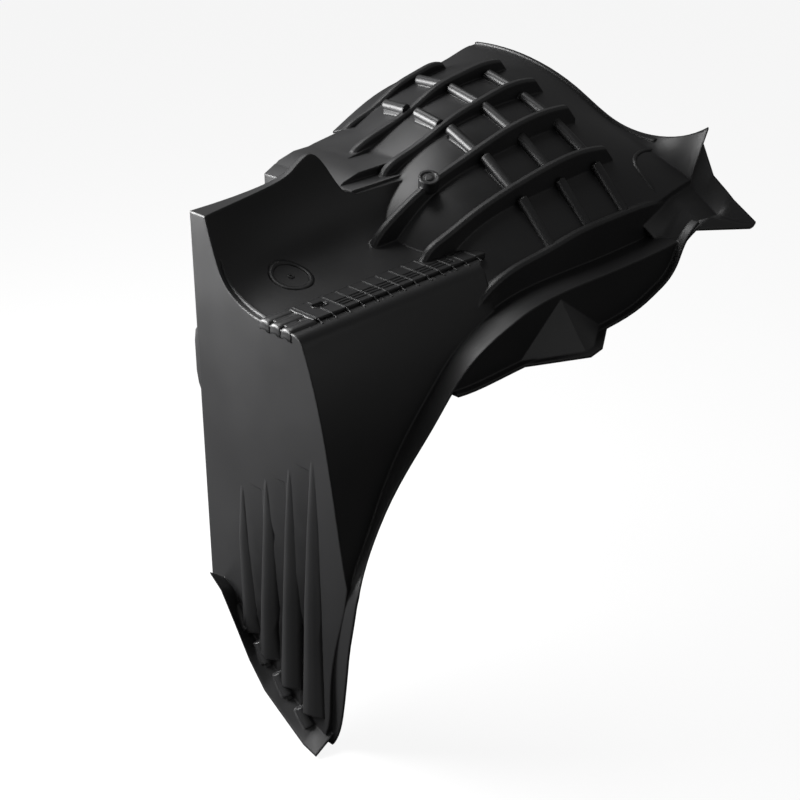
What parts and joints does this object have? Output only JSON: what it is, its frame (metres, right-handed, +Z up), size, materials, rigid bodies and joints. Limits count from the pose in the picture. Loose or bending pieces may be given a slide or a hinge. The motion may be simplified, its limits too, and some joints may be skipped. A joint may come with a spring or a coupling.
{
  "type": "wheel arch liner",
  "caption": "Thin black moulded wheel arch liner with a fluted leg, a slotted fixing pad on its shelf and a ribbed dome over the wheel.",
  "frame": {"origin": "centre between the two slotted holes, on the top face of the fixing pad", "axes": "+X along the arch from the leg to the tail, +Y inboard, +Z up, square to the pad"},
  "size_m": [0.692, 0.4161, 0.6413],
  "materials": {
    "plastic": "satin black, fine grain"
  },
  "bodies": {
    "root": {"liner": "plastic"}
  },
  "joints": []
}
